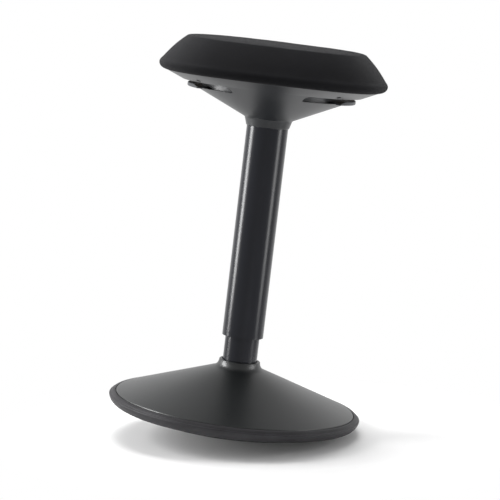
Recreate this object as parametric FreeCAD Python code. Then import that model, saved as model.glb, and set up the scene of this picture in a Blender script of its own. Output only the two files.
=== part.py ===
import FreeCAD, Part
import math
import os

# Wobble stool: a round domed base that rocks on the floor, a telescopic gas column and a padded
# seat on a cone-shaped shell, whose two finger paddles lift a ring that releases the gas column.
# Millimetres, +Z up, origin at the centre of the base's flat foot, seat at its lowest stop.

# Domed base
dome_radius = 560.0           # rolling surface under the base
foot_radius = 36.0            # small flat at the middle of the dome
dome_edge_radius = 168.0      # where the rim takes over from the tread
tread_thickness = 4.0
pan_thickness = 4.0
pan_wall = 4.6
platform_height = 14.0
platform_margin = 2.0         # the pan's platform beyond the socket's flange
boss_radius = 6.0
boss_root = 1.5               # how far a boss or post reaches into the wall that carries it

# Rubber rim
rim_width = 16.1              # reach beyond the dome's edge
rim_depth = 18.77             # the dome's edge up to the cover's edge
rim_foot_width = 4.0
rim_foot_rise = 0.4
rim_bulge_in = 3.1            # middle of the side's arc, inward of the widest place
rim_bulge_drop = 6.9          # and below it
rim_widest_drop = 6.3         # widest place, below the cover's edge
rim_crease_in = 2.3
rim_crease_drop = 4.4
rim_crease_round = 0.7
rim_lip_drop = 0.8            # top of the rim, below the cover's edge
rim_lip_round = 0.8
groove_gap = 1.0

# Base cover
cover_inset = 9.8             # the cover's edge, inward of the rim's widest place
cover_edge_depth = 2.4
cover_thickness = 3.0
cover_slope = 20.0            # degrees from level
cover_boss_circle = 140.0
cover_boss_height = 8.0       # the pan's bosses above the pan
edge_round = 0.8
collar_gap = 1.2              # round the column
collar_wall = 3.8
collar_fillet = 12.0
collar_straight = 1.0         # upright stretch above the fillet
cover_screw = 2.0             # screw sizes are radii
cover_screw_head = 4.0
cover_screw_head_height = 2.6
cover_screw_head_gap = 0.5    # between the head and the tread
cover_screw_grip = 12.0       # thread above the joint of the bosses

# Ballast
ballast_outer = 120.0
ballast_gap = 6.0             # round the socket's flange
ballast_top = 32.0
ballast_post_circle = 84.0
ballast_screw = 2.5
ballast_screw_head = 9.0
ballast_screw_head_height = 3.0
ballast_screw_length = 14.0

# Column
bush_wall = 2.5               # between the column and the cover tube
column_wall = 2.5
column_headroom = 22.0        # between the column's top and the carrier's hub
sleeve_length = 108.0
sleeve_flange = 3.0
socket_wall = 4.5
socket_length = 61.0
socket_flange_radius = 44.0
socket_flange = 5.0
socket_hole = 12.0
base_bolt = 3.0
base_bolt_head = 5.0
base_bolt_head_height = 4.0
base_bolt_circle = 37.0
base_bolt_length = 12.0
column_floor_rise = 10.0      # above the platform
column_floor_thickness = 4.0

# Thrust bearing and its clip
bearing_bore = 6.5
bearing_outer = 14.0
washer_thickness = 2.0
ball_radius = 1.95
ball_circle = 10.0
ball_count = 10
cage_bore = 7.0
cage_outer = 13.0
cage_thickness = 1.8
clip_thickness = 1.5
clip_groove = 0.9
clip_width = 4.0
clip_mouth = 8.0
clip_play = 0.5
clip_washer_outer = 11.0
clip_washer_thickness = 1.2
rod_tail = 3.5                # rod below the clip

# Gas spring
stroke = 220.0                # height adjustment
stroke_margin = 14.0          # piston to rod guide at the highest stop
rod_radius = 5.0
rod_shoulder_width = 2.0
rod_shoulder_height = 3.0
rod_end = 6.0                 # rod above the piston
bumper_length = 22.7
bumper_waist = 1.5
piston_length = 12.0
piston_land = 4.0
seal_depth = 1.5
nut_half = 7.5                # half the width across the flats
nut_height = 5.0
cylinder_radius = 14.0
cylinder_wall = 2.4
cylinder_end = 2.0
cylinder_mouth = 3.0          # clearance of the end's hole round the rod
cylinder_taper = 1.0
cylinder_taper_lead = 6.0     # taper below the hub
cylinder_recess = 2.0         # cylinder's top, below the hub's top
rod_guide_length = 20.0
valve_length = 18.0
pin_radius = 3.0
pin_depth = 14.0              # pin inside the cylinder
pin_cap_radius = 9.0
pin_cap_thickness = 2.5
pin_room = 4.5                # between the cap and the hub

# Cover tube
cover_tube_radius = 30.0
cover_tube_wall = 2.5
tube_above_collar = 35.9      # bare column at the lowest stop
bush_length = 24.5
bush_recess = 0.5
spacer_recess = 2.0

# Seat shell
shell_bottom = 448.0          # lower end of the neck
shell_wall = 2.5
neck_gap = 0.3
neck_lip = 0.9
neck_wall = 3.7
neck_height = 11.7
neck_round_rise = 1.8
neck_round_width = 3.0
shell_slope = 24.9            # degrees from level
shell_round_inset = 25.0      # the cone is round up to here, inward of the seat's lower edge
shell_screw = 2.0
shell_screw_head = 4.0
shell_screw_head_height = 2.5
shell_screw_out = 8.0         # screws, beyond the round cone
shell_boss_radius = 7.0
shell_boss_depth = 6.0        # below the board
slot_land = 0.4               # between the slots and the end of the round cone
slot_height = 8.7
slot_half_angle = 65.0        # each slot's half length about the X axis

# Seat
seat_half_width = 155.0       # at the lower edge of the pad
corner_offset = 50.0          # centres of the outline's corner arcs, in X and in Y
side_bulge = 8.0
board_inset = 5.0
board_thickness = 12.0
pad_overhang = 10.4           # widest place, beyond the lower edge
pad_widest_rise = 8.5
pad_shoulder_in = 4.2
pad_shoulder_up = 7.0
pad_bevel = 36.7              # front crease, inward of the widest place
pad_height = 51.0             # lower edge to the crease
pad_edge_rounding = 3.0
pad_edge_in = 2.0
pad_swell = 1.0               # of the sloping sides
pad_crown = 3.0
fabric_thickness = 2.0

# Seat carrier
plate_gap = 6.5               # between the plate and the release ring
plate_thickness = 4.0
plate_hole_margin = 6.0       # round the pin's cap
spacer_wall = 3.5             # between the hub and the cover tube
hub_length = 32.0
shoulder_depth = 10.0         # below the hub's top
shoulder_thickness = 5.0
rib_thickness = 6.0
rib_gap = 12.0                # between a rib's end and the plate's edge
rib_root = 4.0
carrier_bolt = 3.0
carrier_bolt_head = 5.0
carrier_bolt_head_height = 4.0
carrier_bolt_inset = 18.364   # bolts, inward of the plate's edge
carrier_bolt_angle = 67.6199  # degrees from the X axis
tee_barrel = 4.0
tee_flange = 9.0
tee_flange_thickness = 1.5
tee_foot = 2.0                # barrel above the board's underside
screw_tip = 2.0               # between a screw's tip and the board's top

# Release ring and paddles
ring_gap = 1.4                # inside the shell, at the ring's lower edge
ring_wall = 2.5
ring_below_slot = 1.0
ring_above = 3.5              # left above the ring when it is lifted
ring_travel = 3.2
paddle_gap = 0.4              # web above the slot's lower edge
paddle_web = 2.5
paddle_lip_gap = 2.2
paddle_depth = 8.8
paddle_drop = 0.7
paddle_height = 5.7
paddle_round = 1.0
paddle_half_angle = 33.0
paddle_ramp = 16.0            # slanted stretch at each end
paddle_end_height = 1.5
lug_drop = 5.5                # top of the lugs, below the rocker pivots
lug_thickness = 3.0
lug_half_width = 10.0
lug_length = 24.5
guide_from_ring = 12.5
guide_radius = 3.0
guide_screw = 1.5
guide_screw_head = 5.0
guide_screw_head_height = 2.5
guide_screw_length = 8.0
spring_play = 1.0             # round the guide posts
spring_wall = 1.0             # thickness of the wire

# Rockers
pivot_x = 38.0
pivot_drop = 6.367            # below the plate
nose_x = 5.0                  # inner nose, on the pin's cap
nose_from_ring = 15.5         # outer nose, inward of the ring
nose_radius = 2.5
nose_drop = 1.7               # inner nose, below the pivot
rocker_width = 8.0
rocker_bar = 4.0
rocker_pin = 2.0
ear_thickness = 3.0
ear_half = 5.0
ear_drop = 4.0                # below the pivot

# Clearances
running = 0.05                # radial, round things that turn or slide
seating = 0.3                 # between faces that must stay apart
screw_play = 0.05
press_play = 0.02
bite = 1.0                    # how far a cut runs past a face, or a joined block into its neighbour

Z = FreeCAD.Vector(0, 0, 1)
Y = FreeCAD.Vector(0, 1, 0)
ORIGIN = FreeCAD.Vector(0, 0, 0)


def vec(x, y, z):
    return FreeCAD.Vector(x, y, z)


def disc(radius, bottom, top, x=0.0, y=0.0):
    return Part.makeCylinder(radius, top - bottom, vec(x, y, bottom))


def ring(inner, outer, bottom, top):
    return disc(outer, bottom, top).cut(disc(inner, bottom - bite, top + bite))


def hexagon(half, bottom, top, x=0.0, y=0.0):
    reach = half / math.cos(math.pi / 6)
    corners = [vec(x + px, y + py, bottom) for px, py in places(reach, 6)]
    return Part.Face(Part.makePolygon(corners + corners[:1])).extrude(vec(0, 0, top - bottom))


def block(x0, x1, y0, y1, z0, z1):
    return Part.makeBox(x1 - x0, y1 - y0, z1 - z0, vec(x0, y0, z0))


def crosswise(radius, width, x, z):
    """Cylinder along Y, centred on the XZ plane."""
    return Part.makeCylinder(radius, width, vec(x, -0.5 * width, z), Y)


def fuse(shapes):
    whole = shapes[0]
    for shape in shapes[1:]:
        whole = whole.fuse(shape)
    return whole.removeSplitter()


def cut_all(shape, tools):
    for tool in tools:
        shape = shape.cut(tool)
    return shape


def places(circle, count, start=0.0):
    """Points evenly round a circle."""
    angles = [math.radians(start + 360.0 * i / count) for i in range(count)]
    return [(circle * math.cos(angle), circle * math.sin(angle)) for angle in angles]


def discs(points, radius, bottom, top):
    return [disc(radius, bottom, top, x, y) for x, y in points]


def fasteners(points, seat, head, head_height, shank, length, way, make_head=disc):
    """Screws whose heads bear at the height seat; way is +1 where the shanks point up."""
    pieces = []
    for x, y in points:
        low, high = sorted((seat, seat - way * head_height))
        tip_low, tip_high = sorted((seat, seat + way * length))
        pieces.append(fuse([make_head(head, low, high, x, y), disc(shank, tip_low, tip_high, x, y)]))
    return Part.makeCompound(pieces)


def turned(points, degrees=360.0, start=0.0):
    """Solid of revolution. A point is (r, z), and an arc is a pair of points: mid and end."""
    edges = []
    here = points[0]
    for step in points[1:] + [points[0]]:
        begin = vec(here[0], 0, here[1])
        if isinstance(step[0], tuple):
            middle, here = step
            edges.append(Part.Arc(begin, vec(middle[0], 0, middle[1]), vec(here[0], 0, here[1])).toShape())
        elif step != here:
            here = step
            edges.append(Part.makeLine(begin, vec(here[0], 0, here[1])))
    face = Part.Face(Part.Wire(edges))
    face.rotate(ORIGIN, Z, start)
    return face.revolve(ORIGIN, Z, degrees)


def arc(cx, cy, radius, start, end, height):
    points = []
    for angle in (start, 0.5 * (start + end), end):
        points.append(vec(cx + radius * math.cos(angle), cy + radius * math.sin(angle), height))
    return Part.Arc(*points).toShape()


def outline_ratio():
    """The side arc's centre distance over the corner offset, and the tangent of its half angle."""
    full = 1 + side_bulge / corner_offset
    back = (2 - full ** 2) / (2 * (full - 1))
    return back, 1 / (1 + back)


def outline(half, height, corner=corner_offset, bulge=side_bulge):
    """Rounded square of eight tangent arcs; half is the distance from the axis to a side."""
    back, tangent = outline_ratio()
    side_angle = math.atan(tangent)
    corner_radius = half - corner - bulge
    centre_back = corner * back
    edges = []
    for quarter in range(4):
        turn = math.pi / 2 * quarter
        side_x, side_y = -centre_back * math.cos(turn), -centre_back * math.sin(turn)
        edges.append(arc(side_x, side_y, half + centre_back, turn - side_angle, turn + side_angle, height))
        diagonal = turn + math.pi / 4
        reach = corner * math.sqrt(2)
        edges.append(arc(reach * math.cos(diagonal), reach * math.sin(diagonal), corner_radius,
                         turn + side_angle, turn + math.pi / 2 - side_angle, height))
    return Part.Wire(edges)


def round_section(radius, height):
    return outline(radius, height, 0.0, 0.0)


def loft(sections):
    return Part.makeLoft(sections, True, True)


def dome_height(radius, offset=0.0):
    """Height of the rolling surface at a radius, or of the surface that lies offset inside it."""
    centre = math.sqrt(dome_radius ** 2 - foot_radius ** 2)
    return centre - math.sqrt((dome_radius - offset) ** 2 - radius ** 2)


def dome_arc(r0, r1, offset=0.0, lift=0.0):
    """Arc step for turned(), along the dome from r0 to r1."""
    mid = 0.5 * (r0 + r1)
    return ((mid, dome_height(mid, offset) + lift), (r1, dome_height(r1, offset) + lift))


# Tubes, worked out
cover_tube_bore = cover_tube_radius - cover_tube_wall
column_radius = cover_tube_bore - bush_wall
hub_radius = cover_tube_bore - spacer_wall

# Base, worked out
over_pan = tread_thickness + pan_thickness
pan_edge = dome_edge_radius - seating
rim_bottom = dome_height(dome_edge_radius)
rim_radius = dome_edge_radius + rim_width
cover_edge_height = rim_bottom + rim_depth
cover_edge_radius = rim_radius - cover_inset
cover_seat_height = cover_edge_height - cover_edge_depth
cover_tan = math.tan(math.radians(cover_slope))
cover_drop = cover_thickness / math.cos(math.radians(cover_slope))
boss_joint = dome_height(cover_boss_circle, over_pan) + cover_boss_height
cover_screw_seat = (dome_height(cover_boss_circle + cover_screw_head, tread_thickness)
                    + cover_screw_head_gap + cover_screw_head_height)
collar_bore = column_radius + collar_gap
collar_radius = collar_bore + collar_wall
collar_turn = math.radians(0.5 * (90 - cover_slope))
fillet_tangent = collar_fillet * math.tan(collar_turn)
collar_corner = cover_edge_height + (cover_edge_radius - collar_radius) * cover_tan
fillet_top = collar_corner + fillet_tangent
collar_height = fillet_top + collar_straight

# Column, worked out
socket_bore = column_radius + running
socket_flange_top = platform_height + socket_flange
ballast_inner = socket_flange_radius + ballast_gap
column_bore = column_radius - column_wall
column_floor_height = platform_height + column_floor_rise
bearing_bottom = column_floor_height + column_floor_thickness
ball_centre = bearing_bottom + washer_thickness + running + ball_radius
upper_washer_bottom = ball_centre + ball_radius + running
rod_shoulder = upper_washer_bottom + washer_thickness
clip_washer_top = column_floor_height - seating
clip_top = clip_washer_top - clip_washer_thickness - clip_play
clip_bottom = clip_top - clip_thickness

# Seat, worked out
cover_tube_bottom = collar_height + tube_above_collar
neck_bore = cover_tube_radius + neck_gap
neck_radius_bottom = neck_bore + neck_lip
neck_radius_top = neck_bore + neck_wall
neck_top = shell_bottom + neck_height
shell_tan = math.tan(math.radians(shell_slope))
shell_rise = shell_wall / math.cos(math.radians(shell_slope))
shell_inset = shell_wall / math.sin(math.radians(shell_slope))
pad_bottom = neck_top + (seat_half_width - neck_radius_top) * shell_tan
shell_round_radius = seat_half_width - shell_round_inset
shell_round_height = neck_top + (shell_round_radius - neck_radius_top) * shell_tan
shell_screw_seat = pad_bottom - shell_boss_depth
slot_top = shell_round_height - slot_land
slot_bottom = slot_top - slot_height
board_top = pad_bottom + board_thickness
plate_bottom = pad_bottom - plate_thickness
pad_widest_half = seat_half_width + pad_overhang
pad_top_half = pad_widest_half - pad_bevel

# Height release, worked out
ring_bottom = slot_bottom - ring_below_slot
ring_top = pad_bottom - ring_travel - ring_above
ring_outer = neck_radius_top + (ring_bottom - neck_top) / shell_tan - shell_inset - ring_gap
ring_inner = ring_outer - ring_wall
plate_radius = ring_inner - plate_gap
guide_circle = ring_inner - guide_from_ring
pivot_z = plate_bottom - pivot_drop
lug_top = pivot_z - lug_drop
guide_foot = lug_top - lug_thickness - seating
outer_nose_x = ring_inner - nose_from_ring
inner_nose_z = pivot_z - nose_drop
outer_nose_z = lug_top + seating + nose_radius
paddle_lip = neck_radius_top + (slot_bottom - neck_top) / shell_tan + paddle_lip_gap
paddle_radius = paddle_lip + paddle_depth
paddle_bottom = slot_bottom - paddle_drop
paddle_top = paddle_bottom + paddle_height

# Gas spring, worked out
pin_cap_top = inner_nose_z - nose_radius - seating
pin_cap_bottom = pin_cap_top - pin_cap_thickness
hub_top = pin_cap_bottom - pin_room
hub_bottom = hub_top - hub_length
shoulder_bottom = hub_top - shoulder_depth
column_top = hub_bottom - column_headroom
cylinder_top = hub_top - cylinder_recess
cylinder_bore = cylinder_radius - cylinder_wall
taper_bottom = hub_bottom - cylinder_taper_lead
pin_bottom = cylinder_top - pin_depth
bumper_bottom = rod_shoulder + rod_shoulder_height
bumper_top = bumper_bottom + bumper_length
cylinder_bottom = bumper_top + seating
rod_guide_bottom = cylinder_bottom + cylinder_end + screw_play
rod_guide_top = rod_guide_bottom + rod_guide_length
piston_bottom = rod_guide_top + stroke + stroke_margin
piston_top = piston_bottom + piston_length

# Patterns
base_bolt_points = places(base_bolt_circle, 4, 45)
ballast_points = places(ballast_post_circle, 4, 45)
cover_screw_points = places(cover_boss_circle, 4)
ball_points = places(ball_circle, ball_count)
shell_screw_points = places(shell_round_radius + shell_screw_out, 4, 45)
carrier_bolt_points = (places(plate_radius - carrier_bolt_inset, 2, carrier_bolt_angle)
                       + places(plate_radius - carrier_bolt_inset, 2, -carrier_bolt_angle))
guide_points = [(0, -guide_circle), (0, guide_circle)]


def cover_height(radius):
    return cover_edge_height + (cover_edge_radius - radius) * cover_tan


def cone_height(radius):
    """Outer surface of the seat shell's round cone."""
    return neck_top + (radius - neck_radius_top) * shell_tan


def dome_tread():
    return turned([(0, 0), (foot_radius, 0), dome_arc(foot_radius, pan_edge),
                   (pan_edge, dome_height(pan_edge, tread_thickness)), dome_arc(pan_edge, 0, tread_thickness)])


def dome_pan():
    wall = pan_edge - pan_wall
    wall_top = cover_seat_height - seating
    platform = socket_flange_radius + platform_margin
    pan = turned([(0, dome_height(0, tread_thickness)), dome_arc(0, pan_edge, tread_thickness),
                  (pan_edge, wall_top), (wall, wall_top),
                  (wall, dome_height(wall, over_pan)), dome_arc(wall, platform, over_pan),
                  (platform, platform_height), (0, platform_height)])
    posts = discs(ballast_points, boss_radius, dome_height(ballast_post_circle, over_pan) - boss_root,
                  ballast_top - seating)
    bosses = discs(cover_screw_points, boss_radius, dome_height(cover_boss_circle, over_pan) - boss_root,
                   boss_joint)
    holes = discs(base_bolt_points, base_bolt + screw_play, socket_flange_top - base_bolt_length - bite,
                  platform_height + bite)
    holes += discs(ballast_points, ballast_screw + screw_play, ballast_top - ballast_screw_length - bite,
                   ballast_top)
    holes += discs(cover_screw_points, cover_screw + screw_play, 0, boss_joint + bite)
    holes += discs(cover_screw_points, cover_screw_head + seating, 0, cover_screw_seat)
    return cut_all(fuse([pan] + posts + bosses), holes)


def ballast_ring():
    bottom = dome_height(ballast_inner, over_pan) + seating
    body = turned([(ballast_inner, bottom), dome_arc(ballast_inner, ballast_outer, over_pan, seating),
                   (ballast_outer, ballast_top), (ballast_inner, ballast_top)])
    return cut_all(body, discs(ballast_points, boss_radius + seating, 0, ballast_top + bite))


def ballast_screws():
    return fasteners(ballast_points, ballast_top, ballast_screw_head, ballast_screw_head_height,
                     ballast_screw, ballast_screw_length, -1)


def rim_bumper():
    widest = cover_edge_height - rim_widest_drop
    crease_radius = rim_radius - rim_crease_in
    crease = cover_edge_height - rim_crease_drop
    groove = cover_edge_radius + groove_gap
    lip_radius = groove + rim_lip_round
    lip = cover_edge_height - rim_lip_drop
    floor = cover_seat_height - groove_gap
    return turned([(dome_edge_radius, rim_bottom),
                   (dome_edge_radius + rim_foot_width, rim_bottom + rim_foot_rise),
                   ((rim_radius - rim_bulge_in, widest - rim_bulge_drop), (rim_radius, widest)),
                   ((rim_radius - rim_crease_round, crease - rim_crease_round), (crease_radius, crease)),
                   ((0.5 * (lip_radius + crease_radius), lip - rim_lip_round), (lip_radius, lip)),
                   (groove, lip - 0.5 * rim_lip_round), (groove, floor), (cover_edge_radius, floor),
                   (cover_edge_radius, cover_seat_height), (dome_edge_radius, cover_seat_height)])


def base_cover():
    slope = math.radians(cover_slope)
    fillet_foot = (collar_radius + fillet_tangent * math.cos(slope),
                   collar_corner - fillet_tangent * math.sin(slope))
    aim = math.pi + collar_turn
    fillet_middle = (collar_radius + collar_fillet * (1 + math.cos(aim)),
                     fillet_top + collar_fillet * math.sin(aim))
    rounded = cover_edge_radius - edge_round
    inner_edge = cover_edge_radius - 2 * cover_drop
    body = turned([(cover_edge_radius, cover_seat_height), (cover_edge_radius, cover_edge_height - edge_round),
                   (rounded, cover_height(rounded)), fillet_foot,
                   (fillet_middle, (collar_radius, fillet_top)), (collar_radius, collar_height - edge_round),
                   (collar_radius - edge_round, collar_height), (collar_bore, collar_height),
                   (collar_bore, cover_height(collar_bore) - cover_drop),
                   (inner_edge, cover_height(inner_edge) - cover_drop), (dome_edge_radius, cover_seat_height)])
    bosses = discs(cover_screw_points, boss_radius, boss_joint,
                   cover_height(cover_boss_circle) - cover_drop + boss_root)
    holes = discs(cover_screw_points, cover_screw + screw_play, boss_joint - bite,
                  boss_joint + cover_screw_grip + bite)
    return cut_all(fuse([body] + bosses), holes)


def cover_screws():
    return fasteners(cover_screw_points, cover_screw_seat, cover_screw_head, cover_screw_head_height,
                     cover_screw, boss_joint + cover_screw_grip - cover_screw_seat, 1)


def column_socket():
    body = fuse([disc(socket_flange_radius, platform_height, socket_flange_top),
                 disc(socket_bore + socket_wall, platform_height, platform_height + socket_length)])
    holes = [disc(socket_bore, socket_flange_top, platform_height + socket_length + bite),
             disc(socket_hole, platform_height - bite, socket_flange_top + bite)]
    holes += discs(base_bolt_points, base_bolt + screw_play, platform_height - bite, socket_flange_top + bite)
    return cut_all(body, holes)


def socket_bolts():
    return fasteners(base_bolt_points, socket_flange_top, base_bolt_head, base_bolt_head_height,
                     base_bolt, base_bolt_length, -1, hexagon)


def column_tube():
    return ring(column_bore, column_radius, socket_flange_top, column_top)


def column_floor():
    return ring(rod_radius + seating, column_bore - running, column_floor_height, bearing_bottom)


def guide_sleeve():
    bore = cylinder_radius + running
    return fuse([ring(bore, column_bore - running, column_top - sleeve_length, column_top),
                 ring(bore, column_radius, column_top, column_top + sleeve_flange)])


def bearing_lower_washer():
    return ring(bearing_bore, bearing_outer, bearing_bottom, bearing_bottom + washer_thickness)


def balls(radius):
    return [Part.makeSphere(radius, vec(x, y, ball_centre)) for x, y in ball_points]


def bearing_balls():
    return Part.makeCompound(balls(ball_radius))


def bearing_cage():
    half = 0.5 * cage_thickness
    return cut_all(ring(cage_bore, cage_outer, ball_centre - half, ball_centre + half),
                   balls(ball_radius + running))


def bearing_upper_washer():
    return ring(rod_radius + screw_play, bearing_outer, upper_washer_bottom, rod_shoulder)


def piston_rod():
    body = fuse([disc(rod_radius, clip_bottom - rod_tail, piston_top + rod_end),
                 disc(rod_radius + rod_shoulder_width, rod_shoulder, bumper_bottom)])
    return body.cut(ring(rod_radius - clip_groove, rod_radius + bite, clip_bottom, clip_top))


def retaining_clip():
    outer = rod_radius + clip_width
    clip = ring(rod_radius - clip_groove, outer, clip_bottom, clip_top)
    return clip.cut(block(0, outer + bite, -0.5 * clip_mouth, 0.5 * clip_mouth,
                          clip_bottom - bite, clip_top + bite))


def clip_washer():
    return ring(rod_radius + screw_play, clip_washer_outer, clip_washer_top - clip_washer_thickness,
                clip_washer_top)


def rubber_bumper():
    bore = rod_radius + seating
    waist = (bearing_outer - bumper_waist, 0.5 * (bumper_bottom + bumper_top))
    return turned([(bore, bumper_bottom), (bearing_outer, bumper_bottom),
                   (waist, (bearing_outer, bumper_top)), (bore, bumper_top)])


def piston():
    body = ring(rod_radius + screw_play, cylinder_bore - running, piston_bottom, piston_top)
    return body.cut(ring(cylinder_bore - seal_depth, cylinder_bore + bite, piston_bottom + piston_land,
                         piston_top - piston_land))


def piston_seal():
    return ring(cylinder_bore - seal_depth + screw_play, cylinder_bore - running,
                piston_bottom + piston_land + screw_play, piston_top - piston_land - screw_play)


def piston_nut():
    nut = hexagon(nut_half, piston_top, piston_top + nut_height)
    return nut.cut(disc(rod_radius + screw_play, piston_top - bite, piston_top + nut_height + bite))


def gas_cylinder():
    mouth = rod_radius + cylinder_mouth
    neck = pin_radius + seating
    return turned([(mouth, cylinder_bottom), (cylinder_radius, cylinder_bottom),
                   (cylinder_radius, taper_bottom), (cylinder_radius - cylinder_taper, cylinder_top),
                   (neck, cylinder_top), (neck, cylinder_top - cylinder_end),
                   (cylinder_bore - cylinder_taper, cylinder_top - cylinder_end),
                   (cylinder_bore, taper_bottom - cylinder_end), (cylinder_bore, cylinder_bottom + cylinder_end),
                   (mouth, cylinder_bottom + cylinder_end)])


def rod_guide():
    return ring(rod_radius + running, cylinder_bore - screw_play, rod_guide_bottom, rod_guide_top)


def valve_body():
    top = cylinder_top - cylinder_end - screw_play
    return ring(pin_radius + running, cylinder_bore - cylinder_taper - screw_play, top - valve_length, top)


def release_pin():
    return disc(pin_radius, pin_bottom, pin_cap_bottom)


def pin_cap():
    return disc(pin_cap_radius, pin_cap_bottom, pin_cap_top)


def cover_tube():
    return ring(cover_tube_bore, cover_tube_radius, cover_tube_bottom, shoulder_bottom)


def lower_guide_bush():
    bottom = cover_tube_bottom + bush_recess
    return ring(column_radius + running, cover_tube_bore - screw_play, bottom, bottom + bush_length)


def upper_spacer():
    return ring(hub_radius + screw_play, cover_tube_bore - screw_play, hub_bottom + spacer_recess,
                shoulder_bottom)


def hub_bore():
    """Tapered hole that the top of the gas cylinder wedges in."""
    low, high = hub_bottom - bite, hub_top + bite
    narrowing = cylinder_taper / (cylinder_top - taper_bottom)
    low_radius = cylinder_radius + running - narrowing * (low - taper_bottom)
    high_radius = cylinder_radius + running - narrowing * (high - taper_bottom)
    return turned([(0, low), (low_radius, low), (high_radius, high), (0, high)])


def seat_carrier():
    shapes = [disc(hub_radius, hub_bottom, hub_top),
              disc(cover_tube_radius, shoulder_bottom, shoulder_bottom + shoulder_thickness),
              ring(pin_cap_radius + plate_hole_margin, plate_radius, plate_bottom, pad_bottom)]
    root = plate_bottom + bite
    for angle in (45, 135, 225, 315):
        rib = block(hub_radius - rib_root, plate_radius - rib_gap, -0.5 * rib_thickness, 0.5 * rib_thickness,
                    shoulder_bottom + bite, root)
        rib.rotate(ORIGIN, Z, angle)
        shapes.append(rib)
    ear_in = 0.5 * rocker_width + seating
    for x in (-pivot_x, pivot_x):
        for y in (-ear_in - ear_thickness, ear_in):
            shapes.append(block(x - ear_half, x + ear_half, y, y + ear_thickness, pivot_z - ear_drop, root))
    shapes += discs(guide_points, guide_radius, guide_foot, root)
    holes = [hub_bore()]
    holes += [crosswise(rocker_pin + press_play, 4 * rocker_width, x, pivot_z) for x in (-pivot_x, pivot_x)]
    holes += discs(guide_points, guide_screw + screw_play, guide_foot - bite,
                   guide_foot + guide_screw_length + bite)
    holes += discs(carrier_bolt_points, carrier_bolt + screw_play, plate_bottom - bite, pad_bottom + bite)
    return cut_all(fuse(shapes), holes)


def guide_screws():
    return fasteners(guide_points, guide_foot, guide_screw_head, guide_screw_head_height,
                     guide_screw, guide_screw_length, 1)


def return_springs():
    """Plain sleeves in the place of the wound springs."""
    inner = guide_radius + spring_play
    bottom, top = lug_top + seating, plate_bottom - seating
    sleeves = []
    for x, y in guide_points:
        sleeves.append(disc(inner + spring_wall, bottom, top, x, y).cut(disc(inner, bottom, top, x, y)))
    return Part.makeCompound(sleeves)


def carrier_bolts():
    return fasteners(carrier_bolt_points, plate_bottom, carrier_bolt_head, carrier_bolt_head_height,
                     carrier_bolt, board_top - screw_tip - plate_bottom, 1, hexagon)


def tee_nuts():
    nuts = []
    for x, y in carrier_bolt_points:
        nut = fuse([disc(tee_flange, board_top - tee_flange_thickness, board_top, x, y),
                    disc(tee_barrel, pad_bottom + tee_foot, board_top, x, y)])
        nuts.append(nut.cut(disc(carrier_bolt + screw_play, pad_bottom, board_top + bite, x, y)))
    return Part.makeCompound(nuts)


def rocker_right():
    """Lever between the ring's lug and the gas column's pin."""
    low = pivot_z - 0.5 * rocker_bar
    half = 0.5 * rocker_width
    shapes = [block(nose_x - nose_radius, outer_nose_x + nose_radius, -half, half, low, low + rocker_bar),
              crosswise(rocker_bar, rocker_width, pivot_x, pivot_z)]
    for x, z in ((nose_x, inner_nose_z), (outer_nose_x, outer_nose_z)):
        shapes.append(crosswise(nose_radius, rocker_width, x, z))
        shapes.append(block(x - nose_radius, x + nose_radius, -half, half, z, low + rocker_bar))
    return fuse(shapes).cut(crosswise(rocker_pin + running, 2 * rocker_width, pivot_x, pivot_z))


def rocker_left():
    body = rocker_right()
    body.rotate(ORIGIN, Z, 180)
    return body


def rocker_pins():
    length = rocker_width + 2 * (seating + ear_thickness + bite)
    return Part.makeCompound([crosswise(rocker_pin, length, x, pivot_z) for x in (-pivot_x, pivot_x)])


def paddle(angle):
    """Finger paddle on its web, centred on the given direction."""
    root = ring_inner + 0.5 * ring_wall
    web = slot_bottom + paddle_gap
    profile = [(root, web), (paddle_lip, web), (paddle_lip, paddle_bottom),
               (paddle_radius - paddle_round, paddle_bottom), (paddle_radius, paddle_bottom + paddle_round),
               (paddle_radius, paddle_top - paddle_round), (paddle_radius - paddle_round, paddle_top),
               (paddle_lip, web + paddle_web), (root, web + paddle_web)]
    body = turned(profile, 2 * paddle_half_angle, -paddle_half_angle)
    reach = paddle_radius * math.sin(math.radians(paddle_half_angle))
    for side in (-1, 1):
        outer, inner = side * (reach + bite), side * (reach - paddle_ramp)
        ramp = Part.makePolygon([vec(0, inner, paddle_top + bite), vec(0, outer, paddle_top + bite),
                                 vec(0, outer, paddle_bottom + paddle_end_height),
                                 vec(0, inner, paddle_top + bite)])
        body = body.cut(Part.Face(ramp).extrude(vec(paddle_radius + bite, 0, 0)))
    body.rotate(ORIGIN, Z, angle)
    return body


def lug(angle):
    body = block(ring_inner - lug_length, ring_inner + 0.5 * ring_wall, -lug_half_width, lug_half_width,
                 lug_top - lug_thickness, lug_top)
    body.rotate(ORIGIN, Z, angle)
    return body


def release_ring():
    shapes = [ring(ring_inner, ring_outer, ring_bottom, ring_top), paddle(0), paddle(180)]
    shapes += [lug(angle) for angle in (0, 90, 180, 270)]
    return cut_all(fuse(shapes), discs(guide_points, guide_radius + running, ring_bottom - bite, lug_top + bite))


def shell_outside():
    foot_round = neck_radius_top + neck_round_width
    profile = [(0, shell_bottom), (neck_radius_bottom - edge_round, shell_bottom),
               (neck_radius_bottom, shell_bottom + edge_round), (neck_radius_top, neck_top - neck_round_rise),
               ((neck_radius_top + 0.35 * neck_round_width, neck_top + 0.1 * neck_round_width),
                (foot_round, cone_height(foot_round))),
               (shell_round_radius, shell_round_height), (0, shell_round_height)]
    upper = loft([round_section(shell_round_radius, shell_round_height), outline(seat_half_width, pad_bottom)])
    return fuse([turned(profile), upper])


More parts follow.
